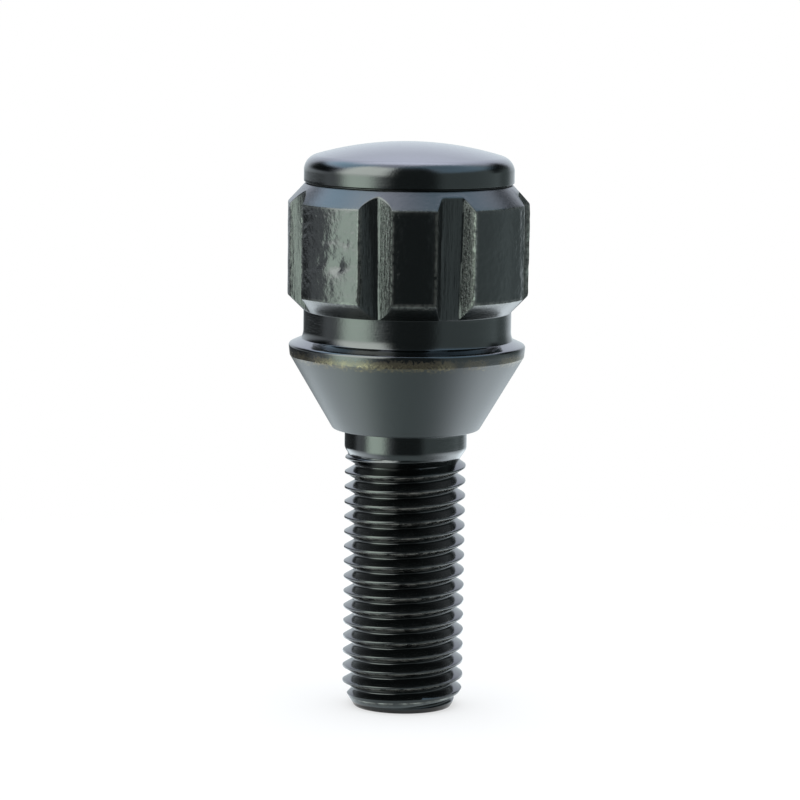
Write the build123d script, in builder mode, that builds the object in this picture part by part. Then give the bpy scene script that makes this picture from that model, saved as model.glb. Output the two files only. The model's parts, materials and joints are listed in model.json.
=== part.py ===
from build123d import *

import os
from math import atan2, ceil, degrees, radians, sqrt, tan

# A wheel bolt in millimetres. It stands on its threaded end at z = 0, with the head up along +Z
# and the front of the key pattern towards -Y.

# Threaded and plain shank
thread_d = 12.0
thread_pitch = 1.5
thread_angle = 60  # included angle of the groove
shank_length = 27.8  # end face to the underside of the seat
shank_step = 0.05  # how far the plain shank stands out from the crests
plain_length = 1.9  # shank left unthreaded under the seat
runout_depth = 0.45  # ring in which the thread dies out
end_chamfer = 1.15  # radial
end_taper = 1.9  # height of that chamfer

# Conical seat and the flange above it
seat_angle = 60  # included angle of the cone
seat_ledge = 1.2  # flat ring between the shank and the cone
seat_toe_radius = 1.7
flange_lip = 1.45  # how far the flange stands out from the core
flange_band = 0.7  # upright band between the cone and the flange's upper edge
flange_radius = 0.8  # where the cone turns into that band

# Head: neck, lands with a chamfer above and below, and the domed cap
core_d = 20.5  # neck, and the foot of both chamfers
neck_height = 3.34
neck_fillet = 1.4
fillet_room = 0.97  # share of the flange's lip that the fillet may take
land_height = 1.7  # how far the lands stand out from the core
land_length = 8.95
land_radius = 0.4  # on the upper corner of the lands
lower_chamfer = 1.65
upper_chamfer = 1.95
cap_lip = 0.1  # how far the cap overhangs the core
cap_rim = 1.3
cap_shoulder_radius = 1.3
dome_radius = 30

# Flutes of the key pattern: two shapes at uneven bearings, 0 at the front and positive to the right
narrow_floor = 0.6
narrow_mouth = 3.35  # between its edges on the lands
narrow_bearings = [-68.5, -15.8, 132.0, 238.0]
wide_floor = 2.0
wide_mouth = 4.0
wide_bearings = [23.0, 81.5, 186.0]
flute_foot_height = 0.05  # floor above the core at its lower end
flute_head_height = 0.6  # floor above the core at its upper end, for the draft of the forging die
flute_overcut = 0.3  # how far the cut reaches past the lands

# Radii and heights of the shank and the seat
thread_r = thread_d / 2
shank_r = thread_r + shank_step
end_r = thread_r - end_chamfer
runout_r = thread_r - runout_depth
runout_top = shank_length - plain_length
runout_z = runout_top - runout_depth

seat_half = radians(seat_angle / 2)
toe_r = shank_r + seat_ledge
core_r = core_d / 2
rim_r = core_r + flange_lip
rim_z = shank_length + (rim_r - toe_r) / tan(seat_half)

# Radii and heights of the head
land_r = core_r + land_height
neck_foot = rim_z + flange_band
neck_corner = min(neck_fillet, flange_lip * fillet_room)
neck_top = neck_foot + neck_height
land_foot = neck_top + lower_chamfer
land_top = land_foot + land_length
cap_foot = land_top + upper_chamfer
cap_r = core_r + cap_lip
rim_top = cap_foot + cap_rim
shoulder_r = cap_r - cap_shoulder_radius
dome_z = rim_top - sqrt((dome_radius - cap_shoulder_radius) ** 2 - shoulder_r**2)
dome_edge = degrees(atan2(rim_top - dome_z, shoulder_r))

# Section of one pitch of thread as radius and height: flank, crest, flank
crest_width = thread_pitch / 4
flank_rise = (thread_pitch - crest_width) / 2
root_r = thread_r - flank_rise / tan(radians(thread_angle / 2))
thread_section = [
    (root_r, 0),
    (thread_r, flank_rise),
    (thread_r, flank_rise + crest_width),
    (root_r, thread_pitch),
]
lead_in_turns = 1.4  # turns that start below the end face, where they are cut away
thread_start = -lead_in_turns * thread_pitch
thread_turns = ceil((runout_z - thread_start) / thread_pitch)


def one_turn(radius, start):
    """A helix of one turn from this height."""
    return Edge.make_helix(thread_pitch, thread_pitch, radius, center=(0, 0, start))


def turn_strips(start):
    """The flanks and crest of one turn, as strips between helices."""
    rails = [one_turn(radius, start + height) for radius, height in thread_section]
    return [Face.make_surface_from_curves(low, high) for low, high in zip(rails, rails[1:])]


def turn_end(start):
    """The spiral floor from the axis to the root, and the upright face at its step."""
    axis = Edge.make_line((0, 0, start), (0, 0, start + thread_pitch))
    floor = Face.make_surface_from_curves(axis, one_turn(root_r, start))
    outline = [(0, 0), *thread_section, (0, thread_pitch)]
    step = Wire.make_polygon([(radius, 0, start + height) for radius, height in outline])
    return [floor, Face(step)]


thread_faces = []
for turn in range(thread_turns):
    thread_faces += turn_strips(thread_start + turn * thread_pitch)
for turn in (0, thread_turns):
    thread_faces += turn_end(thread_start + turn * thread_pitch)

with BuildPart() as thread:
    add(Solid(Shell(thread_faces)))
    with BuildSketch(Plane.XZ):
        taper = end_taper / end_chamfer
        blank_r = thread_r + end_chamfer
        with BuildLine():
            Polyline(
                (0, 0),
                (end_r, 0),
                (blank_r, (blank_r - end_r) * taper),
                (blank_r, thread_start),
                (0, thread_start),
                close=True,
            )
        make_face()
    revolve(axis=Axis.Z, mode=Mode.SUBTRACT)

flutes = [(bearing, narrow_floor, narrow_mouth) for bearing in narrow_bearings]
flutes += [(bearing, wide_floor, wide_mouth) for bearing in wide_bearings]

with BuildPart() as flute_cutters:
    flute_r = land_r + flute_overcut
    for bearing, floor_width, mouth_width in flutes:
        floor_half = floor_width / 2
        flare = (mouth_width - floor_width) / 2
        for height, floor_height in ((neck_top, flute_foot_height), (cap_foot, flute_head_height)):
            floor_r = core_r + floor_height
            outer_half = floor_half + flare * (flute_r - floor_r) / (land_r - floor_r)
            with BuildSketch(Plane.XY.offset(height).rotated((0, 0, bearing - 90))):
                with BuildLine():
                    Polyline(
                        (floor_r, -floor_half),
                        (flute_r, -outer_half),
                        (flute_r, outer_half),
                        (floor_r, floor_half),
                        close=True,
                    )
                make_face()
        loft(ruled=True)

with BuildPart() as wheel_bolt:
    with BuildSketch(Plane.XZ):
        with BuildLine():
            Polyline(
                (0, runout_z),
                (runout_r, runout_z),
                (shank_r, runout_top),
                (shank_r, shank_length),
            )
            FilletPolyline(
                (shank_r, shank_length),
                (toe_r, shank_length),
                (rim_r, rim_z),
                (rim_r, neck_foot),
                (core_r, neck_foot),
                (core_r, neck_top),
                (land_r, land_foot),
                (land_r, land_top),
                (core_r, cap_foot),
                (cap_r, cap_foot),
                (cap_r, rim_top),
                radius=[seat_toe_radius, flange_radius, 0, neck_corner, 0, 0, land_radius, 0, 0],
            )
            CenterArc((shoulder_r, rim_top), cap_shoulder_radius, 0, dome_edge)
            CenterArc((0, dome_z), dome_radius, dome_edge, 90 - dome_edge)
            Line((0, dome_z + dome_radius), (0, runout_z))
        make_face()
    revolve(axis=Axis.Z)
    add(flute_cutters.part, mode=Mode.SUBTRACT)
    add(thread.part)

wheel_bolt.part.label = "wheel_bolt"
os.makedirs("parts", exist_ok=True)
export_step(wheel_bolt.part, "parts/wheel_bolt.step")
print("length", round(dome_z + dome_radius, 3), "volume", round(wheel_bolt.part.volume, 1))
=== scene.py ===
# %% [markdown]
# # A locking wheel bolt
#
# The bolt is one piece of forged steel under a black coat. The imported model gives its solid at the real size.
# Here that solid is dressed: one finer mesh takes its place, with rounded edges, a rolled thread, burrs and dents,
# and each surface gets the finish that its tool left on it. Lengths are in millimetres until the mesh is made.

import json
from math import asin, atan2, cos, degrees, radians, sin, sqrt, tan

import bmesh
import bpy
import numpy as np
from mathutils import Matrix, Vector, noise


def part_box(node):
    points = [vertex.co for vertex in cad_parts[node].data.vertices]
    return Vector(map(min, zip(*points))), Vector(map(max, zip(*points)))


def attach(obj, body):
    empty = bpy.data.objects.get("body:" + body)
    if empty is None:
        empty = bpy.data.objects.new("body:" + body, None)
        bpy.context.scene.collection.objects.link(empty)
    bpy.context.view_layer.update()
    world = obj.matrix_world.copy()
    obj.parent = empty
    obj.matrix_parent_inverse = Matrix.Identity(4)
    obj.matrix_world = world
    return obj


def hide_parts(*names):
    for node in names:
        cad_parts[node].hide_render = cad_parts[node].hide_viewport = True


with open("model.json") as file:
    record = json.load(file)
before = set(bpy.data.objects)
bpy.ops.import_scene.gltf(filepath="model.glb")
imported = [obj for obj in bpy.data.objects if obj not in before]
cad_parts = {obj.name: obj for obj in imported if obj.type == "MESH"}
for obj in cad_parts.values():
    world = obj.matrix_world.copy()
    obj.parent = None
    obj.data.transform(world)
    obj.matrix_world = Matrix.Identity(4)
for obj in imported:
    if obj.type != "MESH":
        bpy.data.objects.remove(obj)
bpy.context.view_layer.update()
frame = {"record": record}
MM = 0.001
mounts = {mount["name"]: mount for mount in frame["record"]["mounts"]}

# %% [markdown]
# ## The camera
#
# The picture was taken from a little above the head, nearly level, with a long lens. The ellipses of the rings and
# the way the two ends differ in scale give the distance and the height. A shift of the lens could frame the bolt
# as well, but it would follow the camera to other views, so the camera is aimed instead, and rolled slightly.

# %% Camera
camera_distance = 366.9
camera_height = 78.5
camera_aim = Vector((-0.61, 0, 30.6))
camera_roll = radians(0.79)

camera = bpy.data.objects.new("photo_camera", bpy.data.cameras.new("photo_camera"))
bpy.context.scene.collection.objects.link(camera)
bpy.context.scene.camera = camera
camera.data.sensor_width = 36
camera.data.lens = 168.3
camera.data.clip_start = 0.01
camera.data.clip_end = 20
camera.location = Vector((0, -camera_distance, camera_height)) * MM
gaze = (camera_aim * MM - camera.location).to_track_quat("-Z", "Y").to_matrix()
camera.rotation_euler = (gaze @ Matrix.Rotation(camera_roll, 3, "Z")).to_euler()
print("camera looks down", round(degrees(camera.rotation_euler.x) - 90, 2), "degrees")

# %% [markdown]
# ## Sizes
#
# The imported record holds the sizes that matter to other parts: the shank, the thread and the lands of the head.
# The rest are the turned and forged sizes between them, from the threaded end at zero up to the dome.

# %% Sizes of the shank, the seat and the head
thread_r = mounts["thread"]["dims"]["r_mm"]
shank_r = mounts["plain_shank"]["dims"]["r_mm"]
seat_z = mounts["cone_seat"]["pos_m"][2] / MM
land_r = mounts["key_head"]["dims"]["r_mm"]
land_length = mounts["key_head"]["dims"]["length_mm"]
top_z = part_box("wheel_bolt")[1].z / MM

toe_r = 7.25
toe_rounding = 1.7
cone_half = radians(30)
core_r = 10.25
flange_lip = 1.45
flange_band = 0.7
flange_rounding = 0.3
neck_height = 3.34
neck_rounding = 1.4
lower_chamfer = 1.65
upper_chamfer = 1.95
cap_r = 10.35
cap_rim = 1.4
dome_r = 32.5

rim_r = core_r + flange_lip
rim_z = seat_z + (rim_r - toe_r) / tan(cone_half)
neck_foot = rim_z + flange_band
neck_top = neck_foot + neck_height
land_foot = neck_top + lower_chamfer
land_top = land_foot + land_length
cap_foot = land_top + upper_chamfer
rim_top = cap_foot + cap_rim
print("lands from", round(land_foot, 2), "to", round(land_top, 2), "and the dome up to", round(top_z, 2))

# %% [markdown]
# ## Columns round the head
#
# The head is a grid of columns round the axis and rows up the profile. Even columns would step across the flutes'
# edges and leave them ragged, so the columns are placed by the flutes: close together at both edges and on the
# walls, wider on the lands. A bearing is 0 at the front and grows to the right.

# %% Flutes and columns
narrow_mouth = 3.35
wide_mouth = 4.0
narrow_bearings = [-122.0, -68.5, -15.8, 132.0]
wide_bearings = [-174.0, 23.0, 81.5]
flute_steps = 24
edge_gap = 0.03  # share of the half mouth between an edge and the column beside it
land_step = 1.1  # degrees


def half_mouth(width):
    """Half the angle between a flute's edges, in degrees."""
    return degrees(asin(width / 2 / land_r))


flutes = [(bearing, half_mouth(narrow_mouth), "narrow") for bearing in narrow_bearings]
flutes += [(bearing, half_mouth(wide_mouth), "wide") for bearing in wide_bearings]
flutes.sort()


def flute_columns(bearing, half):
    """Bearings of the columns in a flute and just outside its edges."""
    shares = np.linspace(-1, 1, flute_steps + 1)
    beside = np.array([-1 - edge_gap, -1 + edge_gap, 1 - edge_gap, 1 + edge_gap])
    return bearing + half * np.sort(np.concatenate([shares, beside]))


def land_columns(start, end):
    """Bearings of the columns on a land, between the last column of one flute and the first of the next."""
    steps = round((end - start) / land_step)
    return np.linspace(start, end, steps + 1)[1:-1]


groups = [flute_columns(bearing, half) for bearing, half, kind in flutes]
columns = []
for group, following in zip(groups, groups[1:] + [groups[0] + 360]):
    columns += [group, land_columns(group[-1], following[0])]
columns = np.concatenate(columns)
print(len(flutes), "flutes and", len(columns), "columns")

# %% [markdown]
# ## How deep each flute is
#
# A narrow flute is a rounded vee, between a straight vee and an arc. A wide one has a flat floor and
# slanted walls. Both are deeper at the foot than at the head, as a forging die needs to leave its part. The depth
# is a share: 1 on the floor and 0 at an edge.

# %% Flute sections
vee_bow = 0.95  # how round the arc in a narrow flute is, 1 being a half circle
vee_share = 0.4  # how much of a narrow flute is straight vee, the rest being arc
floor_softness = 0.08
wide_floor_share = 0.62
far_share = 9.0  # a place far from every flute


def narrow_rise(away):
    """Rise of a narrow flute from its floor, by the share of the way to an edge."""
    soft = (np.hypot(away, floor_softness) - floor_softness) / (sqrt(1 + floor_softness**2) - floor_softness)
    arc = (1 - np.sqrt(1 - (vee_bow * away) ** 2)) / (1 - sqrt(1 - vee_bow**2))
    return vee_share * soft + (1 - vee_share) * arc


def wide_rise(away):
    """Rise of a wide flute from its floor, by the share of the way to an edge."""
    slope = (away - wide_floor_share) / (1 - wide_floor_share)
    return np.minimum((slope + np.hypot(slope, floor_softness)) / 2, 1)


depth = np.zeros(len(columns))
edge_share = np.full(len(columns), far_share)  # place across the nearest flute, from -1 to 1 between its edges
for bearing, half, kind in flutes:
    share = ((columns - bearing + 180) % 360 - 180) / half
    inside = np.abs(share) < 1
    rise = narrow_rise if kind == "narrow" else wide_rise
    depth[inside] = 1 - rise(np.abs(share[inside]))
    near = np.abs(share) < np.abs(edge_share)
    edge_share[near] = share[near]
in_flute = np.abs(edge_share) < 1
print("columns inside flutes", int(in_flute.sum()))

# %% [markdown]
# ## Rows up the profile
#
# A turned profile is a list of corners. Each corner has a rounding, the number of rows on the stretch after it and
# the finish there. Because a corner may differ from column to column, the chamfers meet the flutes exactly, with a
# row of the mesh along each meeting line. Rounding the corners here, and not with a bevel tool, keeps it all even.

# %% Rounded profiles
longest_reach = 0.45  # share of a side that a rounding may take
least_rows = 4
rows_per_mm = 4  # added for each millimetre of rounding
tiny = 1e-9  # keeps a side of no length from being divided by


def rounded(before, corner, after, rounding):
    """Rows round a corner, more on a larger one. The rounding gives way where a side is short."""
    back, ahead = before - corner, after - corner
    back_length = np.linalg.norm(back, axis=0) + tiny
    ahead_length = np.linalg.norm(ahead, axis=0) + tiny
    cosine = -np.sum(back * ahead, axis=0) / back_length / ahead_length
    reach = rounding * np.sqrt((1 - cosine) / (1 + cosine + tiny))
    reach = np.minimum(reach, longest_reach * np.minimum(back_length, ahead_length))
    start, end = corner + back / back_length * reach, corner + ahead / ahead_length * reach
    pull = np.sqrt((1 + cosine) / 2)  # this much weight on the corner gives an arc of a circle
    arc = []
    for t in np.linspace(0, 1, least_rows + round(rows_per_mm * rounding)):
        weights = (1 - t) ** 2, 2 * pull * t * (1 - t), t**2
        arc.append((start * weights[0] + corner * weights[1] + end * weights[2]) / sum(weights))
    return arc


def profile_rows(stations, bearings):
    """Rows through (radius, height, rounding, rows after, finish), and the finish of the band below each row."""
    points = [np.array(np.broadcast_arrays(r, z, bearings)[:2], float) for r, z, *_ in stations]
    rows, bands = [points[0]], []
    for k in range(1, len(stations)):
        turn = [points[k]]
        if stations[k][2] and k + 1 < len(stations):
            turn = rounded(points[k - 1], points[k], points[k + 1], stations[k][2])
        extra, finish = stations[k - 1][3:]
        last = rows[-1]
        rows += [last + (turn[0] - last) * t for t in np.linspace(0, 1, extra + 2)[1:-1]] + turn
        bands += [finish] * (extra + 1) + [stations[k][4]] * (len(turn) - 1)
    return np.array(rows), bands


def arc_stations(centre, radius, angles, finish):
    """Stations along an arc, at angles in degrees from straight out."""
    turns = [radians(angle) for angle in angles]
    return [(centre[0] + radius * cos(turn), centre[1] + radius * sin(turn), 0, 0, finish) for turn in turns]


print("profile tools ready")

# %% [markdown]
# ## Where the chamfers meet the flutes
#
# Both the flute's floor and the chamfers are straight in every column, so where they meet is where two lines
# cross. On a land this gives the land's own ends. On a flute's floor it gives the pointed foot and the arched head.

# %% Ends of the lands and flutes
foot_floor_r = 10.3
head_floor_r = 10.85
land_draft = 0.06  # how much slimmer the lands are at the foot
burr_room = 0.06  # kept free under the lands' outer size for the burrs

head_height = cap_foot - neck_top
land_height = land_r - core_r
lower_slope = land_height / lower_chamfer
upper_slope = land_height / upper_chamfer

outer_foot_r = land_r - burr_room - land_draft
outer_head_r = land_r - burr_room
wall_foot_r = outer_foot_r - depth * (outer_foot_r - foot_floor_r)
wall_head_r = outer_head_r - depth * (outer_head_r - head_floor_r)
wall_slope = (wall_head_r - wall_foot_r) / head_height

low_rise = (wall_foot_r - core_r) / (lower_slope - wall_slope)
high_rise = (core_r + upper_slope * head_height - wall_foot_r) / (wall_slope + upper_slope)
low_z, low_r = neck_top + low_rise, wall_foot_r + wall_slope * low_rise
high_z, high_r = neck_top + high_rise, wall_foot_r + wall_slope * high_rise
print("flutes reach from", round(low_z.min(), 2), "to", round(high_z.max(), 2))

# %% [markdown]
# ## The head from the seat to the dome
#
# The cone seats the wheel. The flange above it is a narrow upright band with a crisp upper edge. From there a slope
# rises to the neck, a short waist below the key pattern, which flares out to meet it. Above the lands a fine groove
# parts the domed cap from the chamfer. The cap's rim is a straight band with a faint edge below its shoulder, and
# the shoulder is the one arc that starts on the rim and runs into the dome without a corner.

# %% Shoulder, dome and flare
shoulder_lean = radians(8)  # how far the shoulder already leans in where it starts
shoulder_rows = 13
dome_rows = 11
flare_r = 2.0
flare_turn = 25  # degrees
flare_rows = 8

dome_z = top_z - dome_r
edge_z = rim_top - dome_z
shoulder_rounding = dome_r**2 - cap_r**2 - edge_z**2
shoulder_rounding /= 2 * (dome_r - cap_r * cos(shoulder_lean) - edge_z * sin(shoulder_lean))
shoulder_centre = (cap_r - shoulder_rounding * cos(shoulder_lean), rim_top - shoulder_rounding * sin(shoulder_lean))
dome_start = degrees(atan2(shoulder_centre[1] - dome_z, shoulder_centre[0]))
shoulder_angles = np.linspace(degrees(shoulder_lean), dome_start, shoulder_rows)
dome_angles = np.linspace(dome_start, 90, dome_rows)

flare_centre = (core_r + flare_r, neck_foot + neck_rounding)
flare_angles = np.linspace(180 + flare_turn, 180, flare_rows)
print("shoulder radius", round(shoulder_rounding, 2), "up to", round(dome_start, 1), "degrees")

# %% Head profile
ledge_r = 6.8
flange_lean = 0.13  # how far the band leans in at its foot
flange_drop = 0.4  # how far it reaches onto the cone
flange_edge = 0.3
flare_corner = 0.15
chamfer_edge = 0.12
land_edge = 0.3
groove_depth = 0.24
groove_height = 0.1
groove_edge = 0.05
groove_bottom = 0.03
cap_edge = 0.06

stations = [
    (ledge_r, seat_z, 0, 0, "seat"),
    (toe_r, seat_z, toe_rounding, 9, "seat"),
    (rim_r - flange_lean, rim_z - flange_drop, flange_rounding, 2, "flange"),
    (rim_r, neck_foot, flange_edge, 3, "fillet"),
]
flare = arc_stations(flare_centre, flare_r, flare_angles[:-1], "fillet")
stations += [(*flare[0][:2], flare_corner, 0, "fillet")] + flare[1:]
stations += [
    (core_r, neck_foot + neck_rounding, 0, 4, "neck"),
    (core_r, neck_top, chamfer_edge, 3, "chamfer"),
    (low_r, low_z, chamfer_edge, 30, "land"),
    (high_r, high_z, land_edge, 6, "chamfer"),
    (core_r, cap_foot - groove_height, groove_edge, 1, "groove"),
    (core_r - groove_depth, cap_foot, groove_bottom, 1, "groove"),
    (cap_r - cap_edge, cap_foot + groove_height, groove_edge, 0, "cap"),
    (cap_r, cap_foot + groove_height + cap_edge, groove_edge, 4, "cap"),
]
stations += arc_stations(shoulder_centre, shoulder_rounding, shoulder_angles[:-1], "cap")
stations += arc_stations((0, dome_z), dome_r, dome_angles[:-1], "dome")
head_rows, head_bands = profile_rows(stations, columns)
print(len(head_rows), "rows; the dome reaches", round(dome_z + dome_r, 3))

# %% [markdown]
# ## Forging marks
#
# The lands are not perfect: the die leaves them gently wavy, the flutes are scored from end to end, and metal is
# dragged into thin burrs along their edges. A few knocks have left hollows on the land to the left of the front.
# These are real shapes, so they move the points of the mesh; a bump in the material would vanish at the outline.
# The same edges are kept as a map of wear, which the finishes read later.

# %% Dents
dents = [  # bearing, height, half width, half height, tilt in degrees, depth
    (-46.0, 44.9, 1.6, 0.42, 24, 0.14),
    (-35.5, 44.7, 1.1, 0.7, 20, 0.3),
    (-38.0, 47.2, 1.1, 0.25, 10, 0.1),
    (-52.0, 46.2, 0.5, 0.25, 5, 0.08),
    (-30.5, 47.0, 0.35, 0.45, 0, 0.14),
]
heights = head_rows[:, 1]


def dent_depth(bearing, height, half_width, half_height, tilt, deep):
    """A soft hollow on the lands, by column and row."""
    across = np.radians((columns - bearing + 180) % 360 - 180) * land_r
    up = heights - height
    along = across * cos(radians(tilt)) + up * sin(radians(tilt))
    aside = up * cos(radians(tilt)) - across * sin(radians(tilt))
    return deep * np.exp(-((along / half_width) ** 2) - (aside / half_height) ** 2)


knocks = sum(dent_depth(*dent) for dent in dents)
print(len(dents), "dents, down to", round(knocks.max(), 2), "mm")

# %% Waves, scores and burrs
wave_height = 0.04
wave_length = 2.2
ripple_height = 0.012
ripple_length = 0.7
flute_waves = 0.5  # how much of the waves shows in the flutes
score_height = 0.035
score_width = 0.16
score_length = 5.0
burr_height = 0.075
burr_width = 0.09  # share of the half mouth
burr_length = 0.6
burr_drift = 20  # degrees round the head over which the burrs change
burr_mean, burr_spread = 0.75, 0.5
left_edges = 0.45  # how much of the burrs and the wear the left edges of the flutes have
furrow_depth = 0.06  # beside the burr, in the flute
furrow_place = 0.84  # share of the half mouth
furrow_width = 0.08
mark_fade = 0.35
score_layer, burr_layer = 0.5, 2.5  # where the noise is cut, so that scores and burrs don't match


def noise_at(*coordinates):
    """Smooth noise from -1 to 1 at each place of three arrays."""
    places = np.stack(np.broadcast_arrays(*coordinates), -1).reshape(-1, 3)
    values = np.array([noise.noise(place) for place in places])
    return values.reshape(np.broadcast_shapes(*(np.shape(c) for c in coordinates)))


east, north = np.sin(np.radians(columns)) * land_r, -np.cos(np.radians(columns)) * land_r
fade = np.clip((heights - low_z) / mark_fade, 0, 1) * np.clip((high_z - heights) / mark_fade, 0, 1)
waves = wave_height * noise_at(east / wave_length, north / wave_length, heights / wave_length)
waves += ripple_height * noise_at(east / ripple_length, north / ripple_length, heights / ripple_length)
scores = score_height * noise_at(np.radians(columns) * land_r / score_width, heights / score_length, score_layer)
edges = np.exp(-(((np.abs(edge_share) - 1) / burr_width) ** 2)) * np.where(edge_share > 0, 1, left_edges)
uneven = burr_mean + burr_spread * noise_at(columns / burr_drift, heights / burr_length, burr_layer)
burrs = edges * burr_height * uneven
furrows = furrow_depth * np.exp(-(((edge_share - furrow_place) / furrow_width) ** 2))
marks = np.where(in_flute, flute_waves * waves + scores - furrows, waves - knocks) + burrs
head_rows[:, 0] = np.minimum(head_rows[:, 0] + fade * marks, land_r)
print("marks from", round((fade * marks).min(), 3), "to", round((fade * marks).max(), 3), "mm")

# %% Wear on the edges
rim_wear = 0.1  # how far from the ends of the lands the coat is rubbed
foot_rub, head_rub = 0.5, 0.25
rims = foot_rub * np.exp(-(((heights - low_z) / rim_wear) ** 2))
rims += head_rub * np.exp(-(((high_z - heights) / rim_wear) ** 2))
wear = np.maximum(edges * fade, np.where(in_flute, 0, rims))
print("wear on", int((wear > foot_rub / 2).sum()), "points of the head")

# %% [markdown]
# ## The rolled thread
#
# A thread could be cut with a screw modifier, but then its ends are hard to finish. Here the grid itself is
# helical: every row climbs one pitch per turn, and the end of a turn is joined to the start of the next. Rows are
# close together at the crest and the root, which rolling leaves rounded. The thread fades out in a taper under the
# shank, and a cone trims it at the end.

# %% Thread sizes
pitch = 1.5
flank_angle = radians(30)  # between a flank and a plane across the axis
root_r = 4.98
blank_r = 5.5  # the bar before rolling
crest_half = 0.09
crest_softness = 0.08
root_softness = 0.08
end_r = 4.85
end_slope = 1.15 / 1.9  # width over height of the chamfer at the end
end_softness = 0.04
thread_low = 0.12
thread_high = 25.4
fade_length = 0.6
runout_z = 25.05
shank_foot = 25.9
runout_softness = 0.05
half_rows = [0, 0.05, 0.1, 0.18, 0.53, 0.575, 0.615, 0.66, 0.75]  # from the root's middle up to the crest's
thread_steps = 120

flank_slope = 1 / tan(flank_angle)
runout_slope = (shank_r - blank_r) / (shank_foot - runout_z)
row_offsets = np.array(half_rows + [pitch - h for h in half_rows[-2:0:-1]])
thread_columns = np.linspace(-180, 180, thread_steps, endpoint=False)
print(len(row_offsets), "rows in each pitch and", len(thread_columns), "columns")


# %% Thread section
def soft_least(a, b, softness):
    """The lesser of two arrays, with the corner between them rounded."""
    return (a + b - np.sqrt((a - b) ** 2 + softness**2)) / 2


def thread_radius(offset, height):
    """Radius of the thread by the height above the root's middle in its pitch, and the height of the point."""
    from_crest = np.abs(offset % pitch - pitch / 2)
    flank = thread_r - (from_crest - crest_half) * flank_slope
    rolled = soft_least(flank, thread_r + crest_softness / 2, crest_softness)
    rolled = -soft_least(-rolled, -root_r, root_softness)
    full = np.clip((thread_high - height) / fade_length, 0, 1)
    rolled = blank_r + (np.minimum(rolled, thread_r) - blank_r) * full**0.5
    runout = blank_r + (height - runout_z) * runout_slope
    rolled = -soft_least(-rolled, -runout, runout_softness)
    return soft_least(rolled, end_r + height * end_slope, end_softness)


section = thread_radius(row_offsets, np.full(len(row_offsets), thread_high / 2))
print("thread from radius", round(section.min(), 2), "to", round(section.max(), 2))

# %% [markdown]
# ## One closed mesh
#
# The pieces of the grid go into one list of points and one of faces, each face with the name of its finish. Bands
# of equal columns are joined square by square. Where the head's columns meet the thread's, the flat ledge under
# the cone is closed with triangles, and a fan closes the dome and the end.

# %% Mesh lists
points, faces, finishes = [], [], []


def add_ring(radii, ring_heights, bearings):
    """Adds a ring of points and returns their numbers."""
    start = len(points)
    turn = np.radians(bearings)
    rows = np.broadcast_arrays(radii * np.sin(turn), -radii * np.cos(turn), ring_heights)
    points.extend(map(tuple, np.stack(rows, -1)))
    return list(range(start, len(points)))


def add_face(corners, finish):
    """Adds a face, without corners that coincide."""
    kept = [c for k, c in enumerate(corners) if c != corners[k - 1]]
    if len(kept) > 2:
        faces.append(kept)
        finishes.append(finish)


def join_rings(low, high, finish):
    """Squares between two rings of as many points. The finish is one name, or one for each column."""
    count = len(low)
    names = [finish] * count if isinstance(finish, str) else finish
    for k in range(count):
        add_face([low[k], low[(k + 1) % count], high[(k + 1) % count], high[k]], names[k])


def zip_rings(inner, inner_bearings, outer, outer_bearings, finish):
    """Triangles between two rings with different numbers of points, both by rising bearing."""
    i = j = 0
    while i < len(inner) or j < len(outer):
        next_inner = inner_bearings[i + 1] if i + 1 < len(inner) else inner_bearings[0] + 360
        next_outer = outer_bearings[j + 1] if j + 1 < len(outer) else outer_bearings[0] + 360
        a, b = inner[i % len(inner)], outer[j % len(outer)]
        if j == len(outer) or (i < len(inner) and next_inner < next_outer):
            i += 1
            add_face([a, inner[i % len(inner)], b], finish)
        else:
            j += 1
            add_face([a, outer[j % len(outer)], b], finish)


def close_ring(ring, height, finish):
    """A fan from a ring to a point on the axis."""
    points.append((0, 0, height))
    middle = len(points) - 1
    for k, corner in enumerate(ring):
        add_face([corner, ring[(k + 1) % len(ring)], middle], finish)


print("mesh tools ready")

# %% [markdown]
# ## Thread and shank
#
# On the real bolt the thread is rolled between dies, which leave faint marks, and in use its crests are rubbed
# bright along their lower edge. The grid starts below the end and stops above the run-out. Every point past a
# limit falls onto the ring there, so both ends close without a cut.

# %% Thread grid
crest_at_left = 0.91  # height of a crest on the left side
spare_turns = 2  # turns below the end, which fall onto its ring
roll_marks = 0.01
roll_mark_length = 0.7
rub_place = 0.59  # height above the root's middle at which the crests are rubbed bright
rub_half = 0.045

low_ring = add_ring(thread_radius(0, np.full(thread_steps, thread_low)), thread_low, thread_columns)
lead = pitch * (thread_columns + 180) / 360
east, north = np.sin(np.radians(thread_columns)) * thread_r, -np.cos(np.radians(thread_columns)) * thread_r
first_root = crest_at_left - pitch / 4 - pitch / 2 - spare_turns * pitch
turns = int((thread_high - first_root) / pitch) + 1
grid, rubbed_rings = [], []
for turn in range(turns):
    for offset in row_offsets:
        height = first_root + turn * pitch + offset + lead
        rough = roll_marks * noise_at(east / roll_mark_length, north / roll_mark_length, height / roll_mark_length)
        radius = np.minimum(thread_radius(offset, height) + rough, thread_r)
        grid.append([add_ring(radius, height, thread_columns), height])
        rub = np.exp(-(((offset - rub_place) / rub_half) ** 2))
        rubbed_rings.append((grid[-1][0], rub * np.clip((thread_high - height) / fade_length - 1, 0, 1)))
high_ring = add_ring(thread_radius(0, np.full(thread_steps, thread_high)), thread_high, thread_columns)


def grid_point(row, column):
    """Number of a thread point: past the last column one turn up, and past an end on that end's ring."""
    if column == thread_steps:
        row, column = row + len(row_offsets), 0
    if row >= len(grid):
        return high_ring[column]
    ring, height = grid[row]
    if height[column] <= thread_low:
        return low_ring[column]
    return high_ring[column] if height[column] >= thread_high else ring[column]


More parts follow.
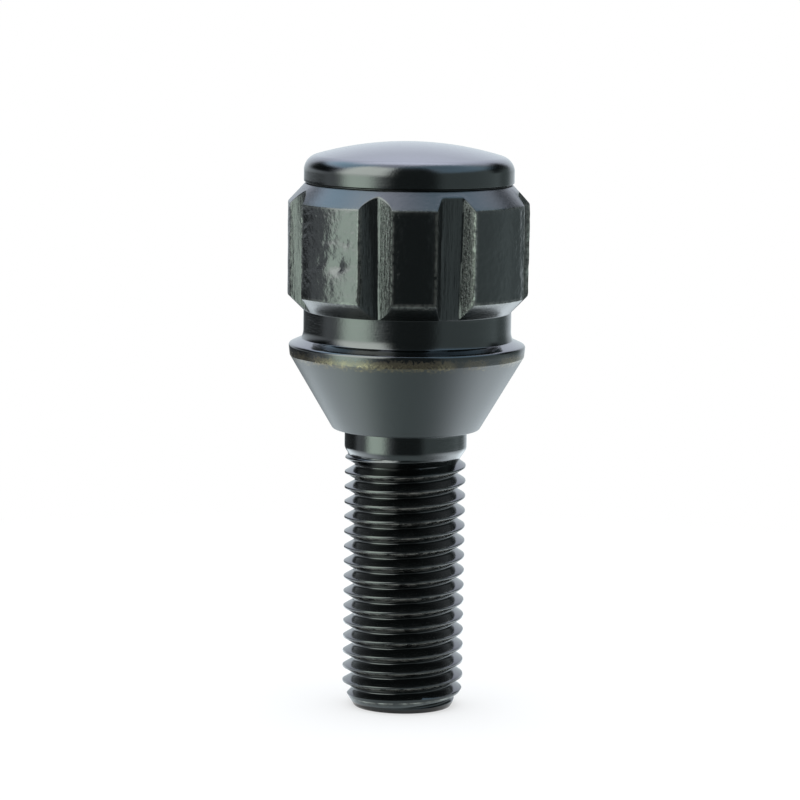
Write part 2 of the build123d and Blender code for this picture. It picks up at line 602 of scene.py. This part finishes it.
for row in range(len(grid)):
    for column in range(thread_steps):
        square = [grid_point(row, column), grid_point(row, column + 1),
                  grid_point(row + 1, column + 1), grid_point(row + 1, column)]
        add_face(square, "thread")
print(turns, "turns and", len(faces), "faces on the thread")

# %% Threaded end and plain shank
end_rim = 0.1
end_rounding = 0.06
taper_rounding = 0.8
shank_rounding = 0.45
ledge_start = 1.1  # the ledge starts at this share of the rounding


def join_profile(stations, first=None, last=None):
    """Joins the rings of a profile, of which the first or the last may be there already. Returns the rings."""
    rows, bands = profile_rows(stations, thread_columns)
    rings = [first] if first else [add_ring(*rows[0], thread_columns)]
    rings += [add_ring(*row, thread_columns) for row in rows[1:-1]]
    rings += [last] if last else [add_ring(*rows[-1], thread_columns)]
    for low, high, finish in zip(rings, rings[1:], bands):
        join_rings(low, high, finish)
    return rings


end_stations = [
    (end_r - end_rim, 0, 0, 0, "thread"),
    (end_r, 0, end_rounding, 0, "thread"),
    (end_r + thread_low * end_slope, thread_low, 0, 0, "thread"),
]
close_ring(join_profile(end_stations, last=low_ring)[0], 0, "thread")
shank_stations = [
    (blank_r + (thread_high - runout_z) * runout_slope, thread_high, 0, 2, "shank"),
    (shank_r, shank_foot, taper_rounding, 6, "shank"),
    (shank_r, seat_z, shank_rounding, 0, "shank"),
    (shank_r + ledge_start * shank_rounding, seat_z, 0, 0, "seat"),
]
shank_ring = join_profile(shank_stations, first=high_ring)[-1]
print(len(faces), "faces up to the seat")

# %% [markdown]
# ## The head's faces
#
# The rows of the head become rings too. On the band of the lands the finish changes from column to column: the
# die drags harder on the right wall of each flute, so that wall is rougher than the floor and the left wall.

# %% Head
wall_share = 0.08  # where the right wall of a flute starts
floor_depth = 0.97  # deeper than this is floor
head_rings = [add_ring(*row, columns) for row in head_rows]
flute_middle = in_flute | np.roll(in_flute, -1)
right_wall = flute_middle & (edge_share > wall_share) & (depth < floor_depth)
side_names = np.where(right_wall, "wall", np.where(flute_middle, "flute", "land")).tolist()
for low, high, finish in zip(head_rings, head_rings[1:], head_bands):
    join_rings(low, high, side_names if finish == "land" else finish)
zip_rings(shank_ring, thread_columns, head_rings[0], columns, "seat")
close_ring(head_rings[-1], dome_z + dome_r, "dome")
print(len(points), "points and", len(faces), "faces")

# %% [markdown]
# ## The piece
#
# The lists become one mesh in metres, and the wear becomes a value on its points. Points that no face uses are
# dropped, the faces are turned outwards, and the shading is smooth except over real corners. The piece stands for
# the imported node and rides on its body.

# %% Bolt mesh
corner_angle = radians(38)
finish_names = sorted(set(finishes))

bolt_mesh = bpy.data.meshes.new("black_wheel_bolt")
bolt_mesh.from_pydata([tuple(np.array(p) * MM) for p in points], [], faces)
bolt_mesh.polygons.foreach_set("material_index", [finish_names.index(name) for name in finishes])
point_wear = np.zeros(len(points), np.float32)
point_wear[head_rings[0][0] : head_rings[-1][-1] + 1] = wear.ravel()
for ring, rub in rubbed_rings:
    point_wear[ring] = rub
bolt_mesh.attributes.new("wear", "FLOAT", "POINT").data.foreach_set("value", point_wear)

cleaner = bmesh.new()
cleaner.from_mesh(bolt_mesh)
bmesh.ops.delete(cleaner, geom=[v for v in cleaner.verts if not v.link_faces], context="VERTS")
bmesh.ops.recalc_face_normals(cleaner, faces=cleaner.faces)
open_edges = sum(not edge.is_manifold for edge in cleaner.edges)
cleaner.to_mesh(bolt_mesh)
cleaner.free()
bolt_mesh.shade_smooth()
bolt_mesh.set_sharp_from_angle(angle=corner_angle)

bolt = bpy.data.objects.new("black_wheel_bolt", bolt_mesh)
bpy.context.scene.collection.objects.link(bolt)
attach(bolt, "root")
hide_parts("wheel_bolt")
triangles = sum(len(face.vertices) - 2 for face in bolt_mesh.polygons)
print(triangles, "triangles,", open_edges, "open edges, finishes", finish_names)

# %% [markdown]
# ## Finishes
#
# One black coat covers the whole bolt, and what lies under it changes its look: smooth and glossy on the cap,
# grained on the forged lands, scored in the flutes, ringed where it was turned and satin on the cone. Each finish
# is the same coat with its own roughness and its own fine relief, so one function starts them all, and a few short
# ones add nodes to it.

# %% Coat and nodes
coat_black = (0.0015, 0.002, 0.002)
coat_ior = 1.5


def coat(name, colour, roughness):
    """A new coat material, with its shader."""
    material = bpy.data.materials.new(name)
    material.use_nodes = True
    shader = material.node_tree.nodes["Principled BSDF"]
    shader.inputs["Base Color"].default_value = (*colour, 1)
    shader.inputs["Roughness"].default_value = roughness
    shader.inputs["IOR"].default_value = coat_ior
    return material, shader


def node(material, kind, **values):
    """Adds a node and sets its inputs by name, or its settings where no input has that name."""
    made = material.node_tree.nodes.new(kind)
    for name, value in values.items():
        if name in made.inputs:
            made.inputs[name].default_value = value
        else:
            setattr(made, name, value)
    return made


def link(material, start, end):
    """Joins two sockets."""
    material.node_tree.links.new(start, end)


def calc(material, operation, *values):
    """A math node on sockets and numbers."""
    made = node(material, "ShaderNodeMath", operation=operation)
    for socket, value in zip(made.inputs, values):
        if isinstance(value, (int, float)):
            socket.default_value = value
        else:
            link(material, value, socket)
    return made.outputs[0]


def ramp(material, value, low, high, least=0.0, most=1.0):
    """A value that goes from least to most while another goes from low to high."""
    made = node(material, "ShaderNodeMapRange")
    for name, number in zip(("From Min", "From Max", "To Min", "To Max"), (low, high, least, most)):
        made.inputs[name].default_value = number
    link(material, value, made.inputs["Value"])
    return made.outputs["Result"]


print("coat of colour", coat_black)


# %% Place, grain and relief
def place(material, stretch=(1, 1, 1)):
    """The place on the bolt in millimetres from the middle of its threaded end, each axis times its stretch."""
    where = node(material, "ShaderNodeTexCoord")
    scale = node(material, "ShaderNodeVectorMath", operation="MULTIPLY")
    scale.inputs[1].default_value = [value / MM for value in stretch]
    link(material, where.outputs["Object"], scale.inputs[0])
    return scale.outputs[0]


def grain(material, vector, size, detail):
    """Noise with features of about this size, from 0 to 1."""
    speck = node(material, "ShaderNodeTexNoise", Scale=1 / size, Detail=detail)
    link(material, vector, speck.inputs["Vector"])
    return speck.outputs["Fac"]


def relief(material, shader, height, depth_mm):
    """Bumps the shader by a height from 0 to 1."""
    bump = node(material, "ShaderNodeBump", Strength=1.0, Distance=depth_mm * MM)
    link(material, height, bump.inputs["Height"])
    link(material, bump.outputs["Normal"], shader.inputs["Normal"])


print("grain tools ready")

# %% [markdown]
# ## Bare metal
#
# Where the coat is nicked or rubbed through, steel shows. A second material on chosen faces would give the patches
# the shapes of the faces, so a mask in the coat's own material is used: it turns the colour, the gloss and the
# metal on together. Along the edges the mask is the wear from the mesh, broken into flecks by noise.

# %% Bare metal and rubbed edges
edge_metal = (0.2, 0.21, 0.19)
edge_roughness = 0.35
fleck_mm = 0.45
fleck_range = (0.3, 0.65)
scuff_mm = 0.24
scuff_range = (0.5, 0.64)


def bare(material, shader, cover, metal, roughness):
    """Lays bare metal over the coat where the cover is 1."""
    shade = node(material, "ShaderNodeMix", data_type="RGBA")
    shade.inputs[6].default_value = shader.inputs["Base Color"].default_value
    shade.inputs[7].default_value = (*metal, 1)
    link(material, cover, shade.inputs[0])
    link(material, shade.outputs[2], shader.inputs["Base Color"])
    link(material, cover, shader.inputs["Metallic"])
    coat_roughness = shader.inputs["Roughness"].default_value
    link(material, ramp(material, cover, 0, 1, coat_roughness, roughness), shader.inputs["Roughness"])


def rub_edges(material, shader, scuffs=0.0):
    """Rubs the coat through in flecks along the edges, by the wear on the mesh, and in scuffs all over."""
    painted = node(material, "ShaderNodeAttribute", attribute_name="wear")
    flecks = ramp(material, grain(material, place(material), fleck_mm, 4.0), *fleck_range)
    cover = calc(material, "MULTIPLY", painted.outputs["Fac"], flecks)
    if scuffs:
        specks = ramp(material, grain(material, place(material), scuff_mm, 3.0), *scuff_range, 0.0, scuffs)
        cover = calc(material, "MAXIMUM", cover, specks)
    bare(material, shader, cover, edge_metal, edge_roughness)


print("edges rubbed to", edge_metal)

# %% [markdown]
# ## Gloss
#
# The cap, the chamfers and the slope above the flange were smooth before they were coated, and the coat dried on
# them with a fine orange peel. The lands have the coarser grain of the forging. Both are noise under the same
# gloss, with its size and depth in millimetres, so they look right from near and far.

# %% Gloss of the cap, the chamfers and the forged lands
peel_range = (0.3, 0.7)
smoother, rougher = 0.03, 0.05  # how far the roughness goes down and up with the peel


def gloss_coat(name, roughness, grain_mm, depth_mm, worn_edges=False):
    """The coat where the metal under it is smooth, with a fine orange peel."""
    material, shader = coat(name, coat_black, roughness)
    peel = grain(material, place(material), grain_mm, 4.0)
    relief(material, shader, peel, depth_mm)
    if worn_edges:
        rub_edges(material, shader)
    else:
        gloss = ramp(material, peel, *peel_range, roughness - smoother, roughness + rougher)
        link(material, gloss, shader.inputs["Roughness"])
    return material


bolt_finishes = {
    "cap": gloss_coat("gloss_cap", 0.09, 0.18, 0.008),
    "dome": gloss_coat("gloss_dome", 0.12, 0.3, 0.003),
    "chamfer": gloss_coat("gloss_chamfer", 0.26, 0.35, 0.012, worn_edges=True),
    "groove": gloss_coat("gloss_groove", 0.3, 0.2, 0.003),
    "land": gloss_coat("forged_land", 0.12, 0.7, 0.09, worn_edges=True),
    "fillet": gloss_coat("gloss_fillet", 0.1, 0.2, 0.004),
}
print("smooth finishes", sorted(bolt_finishes))

# %% [markdown]
# ## Scored, turned and rolled
#
# Tools leave lines: the die scores the flutes up and down, the lathe leaves rings on the neck and the shank. Noise
# stretched along one axis gives such lines without a texture picture. The rolled thread is smooth, and its crests
# are rubbed to bright metal in nicks, by the same wear that the edges of the head use.

# %% Scored flutes and turned rings
score_roughness = 0.2
score_mm, score_stretch = 0.14, (1, 1, 0.05)
pit_mm, pit_stretch = 0.3, (1, 1, 0.6)
turned_roughness = 0.12
ring_mm, ring_stretch = 0.1, (0.04, 0.04, 1)
speck_mm = 0.2


def scored_coat(name, depth_mm, scuffs):
    """The coat in the flutes, scored up and down by the die, rubbed through along the edges and scuffed."""
    material, shader = coat(name, coat_black, score_roughness)
    lines = grain(material, place(material, score_stretch), score_mm, 3.0)
    pits = grain(material, place(material, pit_stretch), pit_mm, 3.0)
    relief(material, shader, calc(material, "ADD", lines, pits), depth_mm)
    rub_edges(material, shader, scuffs)
    return material


def turned_coat(name, depth_mm):
    """The coat over fine rings from turning."""
    material, shader = coat(name, coat_black, turned_roughness)
    lines = grain(material, place(material, ring_stretch), ring_mm, 2.0)
    specks = grain(material, place(material), speck_mm, 2.0)
    relief(material, shader, calc(material, "ADD", lines, specks), depth_mm)
    return material


bolt_finishes["flute"] = scored_coat("scored_flute", 0.035, 0.0)
bolt_finishes["wall"] = scored_coat("scuffed_wall", 0.12, 0.25)
bolt_finishes["neck"] = turned_coat("turned_neck", 0.012)
bolt_finishes["shank"] = turned_coat("turned_shank", 0.008)
print("scored and turned finishes", sorted(bolt_finishes))

# %% Rolled thread
bright_metal = (0.5, 0.5, 0.45)
bright_roughness = 0.3
thread_roughness = 0.15
nick_mm = 0.9
nick_range = (0.4, 0.62)
nick_least = 0.1


def rolled_coat(name):
    """The coat on the thread, rubbed through to the metal along the lower edge of the crests."""
    material, shader = coat(name, coat_black, thread_roughness)
    crest = node(material, "ShaderNodeAttribute", attribute_name="wear")
    nicks = ramp(material, grain(material, place(material), nick_mm, 4.0), *nick_range, nick_least)
    cover = calc(material, "MULTIPLY", crest.outputs["Fac"], nicks)
    bare(material, shader, cover, bright_metal, bright_roughness)
    return material


bolt_finishes["thread"] = rolled_coat("rolled_thread")
print("crests rubbed to", bright_metal)

# %% [markdown]
# ## The worn seat
#
# The cone, which beds in the wheel, has a thin satin coat. At its top and on the flange's band the coat is rubbed
# brown in patches, with ragged edges and loose specks below. One mask by height, broken up by noise, gives both:
# the same function dresses the cone and the band, so the patches run on from one to the other.

# %% Satin cone and worn flange
satin_black = (0.0065, 0.009, 0.0093)
worn_metal = (0.125, 0.106, 0.07)
worn_roughness = 0.32
worn_low, low_fade = 34.65, 0.5
worn_high, high_fade = 35.85, 0.4
ragged_mm = 0.3
ragged_reach = 0.8  # how far noise moves the edges of the band up and down
patch_mm, patch_stretch = 3.0, (1, 1, 0.3)
patch_range = (0.3, 0.55)
worn_fleck_mm = 0.3
worn_fleck_range = (0.3, 0.7)
worn_fleck_least = 0.4


def worn_coat(name, colour, roughness, grain_mm, depth_mm):
    """A coat worn through in patches round the top of the cone."""
    material, shader = coat(name, colour, roughness)
    spot = place(material)
    relief(material, shader, grain(material, spot, grain_mm, 3.0), depth_mm)
    axes = node(material, "ShaderNodeSeparateXYZ")
    link(material, spot, axes.inputs[0])
    ragged = calc(material, "MULTIPLY_ADD", grain(material, spot, ragged_mm, 3.0), 2 * ragged_reach, -ragged_reach)
    height = calc(material, "ADD", axes.outputs["Z"], ragged)
    from_below = ramp(material, height, worn_low, worn_low + low_fade)
    from_above = ramp(material, height, worn_high, worn_high - high_fade)
    rubbed = ramp(material, grain(material, place(material, patch_stretch), patch_mm, 1.0), *patch_range)
    flecks = ramp(material, grain(material, spot, worn_fleck_mm, 4.0), *worn_fleck_range, worn_fleck_least)
    cover = calc(material, "MULTIPLY", from_below, from_above)
    cover = calc(material, "MULTIPLY", calc(material, "MULTIPLY", cover, rubbed), flecks)
    bare(material, shader, cover, worn_metal, worn_roughness)
    return material


bolt_finishes["seat"] = worn_coat("satin_seat", satin_black, 0.42, 0.14, 0.006)
bolt_finishes["flange"] = worn_coat("worn_flange", coat_black, 0.17, 0.25, 0.004)
for name in finish_names:
    bolt_mesh.materials.append(bolt_finishes[name])
print("finishes", [material.name for material in bolt_mesh.materials])

# %% [markdown]
# ## The white sheet
#
# The bolt stands on a white sheet. It has to be white in the picture, and a lamp strong enough for that would wash
# the bolt out. So the sheet shows its own white to the camera and to mirrored rays, more of it farther from the
# bolt, and close to the bolt it still takes the light and the shadow.

# %% Floor
floor_half = 6.0
paper_colour = (0.85, 0.85, 0.85, 1)
near_reach, far_reach = 0.01, 0.12  # metres from the bolt's axis
near_white, far_white = 0.6, 1.0  # how much of the sheet's own white shows there

floor_mesh = bpy.data.meshes.new("floor")
floor_corners = [(-floor_half, -floor_half, 0), (floor_half, -floor_half, 0),
                 (floor_half, floor_half, 0), (-floor_half, floor_half, 0)]
floor_mesh.from_pydata(floor_corners, [], [(0, 1, 2, 3)])
floor = bpy.data.objects.new("floor", floor_mesh)
bpy.context.scene.collection.objects.link(floor)


def seen_directly(owner):
    """1 for rays from the camera and for rays that mirror or pass through a surface, else 0."""
    path = node(owner, "ShaderNodeLightPath")
    seen = calc(owner, "MAXIMUM", path.outputs["Is Camera Ray"], path.outputs["Is Glossy Ray"])
    return calc(owner, "MAXIMUM", seen, path.outputs["Is Transmission Ray"])


paper = bpy.data.materials.new("white_paper")
paper.use_nodes = True
paper.node_tree.nodes.clear()
sheet = node(paper, "ShaderNodeBsdfDiffuse", Color=paper_colour)
white = node(paper, "ShaderNodeEmission")
where = node(paper, "ShaderNodeNewGeometry")
away = node(paper, "ShaderNodeVectorMath", operation="LENGTH")
mix = node(paper, "ShaderNodeMixShader")
output = node(paper, "ShaderNodeOutputMaterial")
link(paper, where.outputs["Position"], away.inputs[0])
own_white = ramp(paper, away.outputs["Value"], near_reach, far_reach, near_white, far_white)
link(paper, calc(paper, "MULTIPLY", own_white, seen_directly(paper)), mix.inputs[0])
link(paper, sheet.outputs[0], mix.inputs[1])
link(paper, white.outputs[0], mix.inputs[2])
link(paper, mix.outputs[0], output.inputs["Surface"])
floor_mesh.materials.append(paper)
print("sheet", 2 * floor_half, "m wide")

# %% [markdown]
# ## Plain light
#
# A wide, cool softbox overhead lights the bolt, and a white room fills the shadows. The room is full white only to
# the camera and to mirrored rays; to all others it is dimmer, so that the shadow on the sheet stays.

# %% World and softbox
room_light = 0.4

world = bpy.data.worlds.new("white_studio")
bpy.context.scene.world = world
world.use_nodes = True
background = world.node_tree.nodes["Background"]
background.inputs["Color"].default_value = (1, 1, 1, 1)
link(world, ramp(world, seen_directly(world), 0, 1, room_light), background.inputs["Strength"])
bpy.context.scene.view_settings.view_transform = "Standard"

softbox = bpy.data.objects.new("softbox", bpy.data.lights.new("softbox", "AREA"))
bpy.context.scene.collection.objects.link(softbox)
softbox.data.size = 0.9
softbox.data.color = (0.9, 0.95, 1.0)
softbox.data.energy = 8.0
softbox.location = (0, 0.08, 0.65)
softbox.visible_glossy = False
print("softbox", softbox.data.energy, "W at", list(softbox.location))

# %% [markdown]
# ## The light tent
#
# Black gloss shows little but what it mirrors, so small products are photographed in a tent of white cloth with a
# bright window on one side and a dark slit for the camera. Real lamps behind cloth would be slow to render and hard
# to place. Here the tent is a bowl of cloth that glows by itself, seen only in the mirror of the coat, and its
# brightness is painted: an even white that grows towards the top, then one patch over another, soft or sharp.

# %% Tent colours and patches
day = np.array((0.9, 1.0, 1.06))
haze = np.array((0.94, 1.0, 1.22))
sky = np.array((0.66, 1.0, 1.29))
shade = np.array((0.8, 1.0, 1.02))
window_white = np.array((0.92, 1.0, 0.95))
window_green = np.array((0.82, 1.0, 0.88))
even_heights, even_glow = [0, 30, 50], [0.9, 1.8, 3.6]  # degrees, and how bright the even white is there
haze_height = 40  # degrees, where the day has turned into haze
patches = [  # bearing, height, half width and half height in degrees, sharpness, brightness, colour
    (0, -62, 60, 25, 3, 1.0, shade),
    (70, 4, 62, 50, 6, 0.8, shade),
    (105, -43, 48, 19, 3, 4.3, day),
    (136, -34, 24, 16, 3, 2.8, day),
    (-95, -52, 40, 22, 3, 3.0, day),
    (-134, -36, 24, 20, 3, 3.0, day),
    (-137, -14, 34, 11.5, 10, 0.1, day),
    (-118, 21, 27, 14, 6, 0.03, day),
    (126, 23, 22, 15, 6, 0.03, day),
    (129, 0, 14, 18, 4, 0.35, shade),
    (-105, 54, 38, 18, 4, 3.4, sky),
    (180, 74, 75, 17, 4, 6.6, haze),
    (75, 50, 42, 20, 5, 2.0, sky),
    (45, 68, 75, 15, 4, 1.8, sky),
    (4, 10, 30, 62, 8, 0.16, shade),
    (-57, -18, 20, 30, 4, 6.8, window_green),
    (-53, 34, 30, 32, 6, 9.0, window_white),
]


def tent_glow(bearings, elevations):
    """Colour times brightness of the tent, by bearing and height in degrees."""
    upper = np.clip(elevations / haze_height, 0, 1)[..., None]
    glow = np.interp(elevations, even_heights, even_glow)[..., None] * (day + (haze - day) * upper)
    for bearing, height, half_width, half_height, sharpness, bright, colour in patches:
        across = np.abs((bearings - bearing + 180) % 360 - 180) / half_width
        up = np.abs(elevations - height) / half_height
        cover = np.exp(-(across**sharpness) - up**sharpness)[..., None]
        glow = glow + (bright * colour - glow) * cover
    return glow


print(len(patches), "patches on the tent")

# %% Tent cloth
tent_r = 0.6
tent_centre = 0.042
tent_floor = 0.0005
tent_steps = 72
least_dip = 1e-6  # what dips less than this never meets the floor

tent_heights = np.concatenate([np.linspace(-84, -6, 27), np.linspace(-4, 90, 48)])
tent_bearings = np.linspace(-180, 180, tent_steps, endpoint=False)
elevations, bearings = np.meshgrid(tent_heights, tent_bearings, indexing="ij")
dip = np.maximum(np.sin(np.radians(-elevations)), least_dip)
reach = np.minimum(tent_r, (tent_centre - tent_floor) / dip)
flat = reach * np.cos(np.radians(elevations))
places = np.stack([flat * np.sin(np.radians(bearings)), -flat * np.cos(np.radians(bearings)),
                   tent_centre + reach * np.sin(np.radians(elevations))], -1)
squares = []
for row in range(len(tent_heights) - 1):
    low, high = row * tent_steps, (row + 1) * tent_steps
    for column in range(tent_steps):
        following = (column + 1) % tent_steps
        squares.append((low + column, low + following, high + following, high + column))
tent_mesh = bpy.data.meshes.new("light_tent")
tent_mesh.from_pydata(places.reshape(-1, 3).tolist(), [], squares)
paint = tent_mesh.attributes.new("glow", "FLOAT_COLOR", "POINT")
glow = np.concatenate([tent_glow(bearings, elevations), np.ones((*bearings.shape, 1))], -1)
paint.data.foreach_set("color", glow.ravel().astype(np.float32))

cloth = bpy.data.materials.new("tent_cloth")
cloth.use_nodes = True
cloth.node_tree.nodes.clear()
painted = node(cloth, "ShaderNodeAttribute", attribute_name="glow")
lit = node(cloth, "ShaderNodeEmission")
output = node(cloth, "ShaderNodeOutputMaterial")
link(cloth, painted.outputs["Color"], lit.inputs["Color"])
link(cloth, lit.outputs[0], output.inputs["Surface"])
tent_mesh.materials.append(cloth)

tent = bpy.data.objects.new("light_tent", tent_mesh)
bpy.context.scene.collection.objects.link(tent)
tent.visible_camera = False
tent.visible_diffuse = False
tent.visible_shadow = False
print("tent of", len(squares), "faces, brightness", round(glow.min(), 2), "to", round(glow.max(), 2))
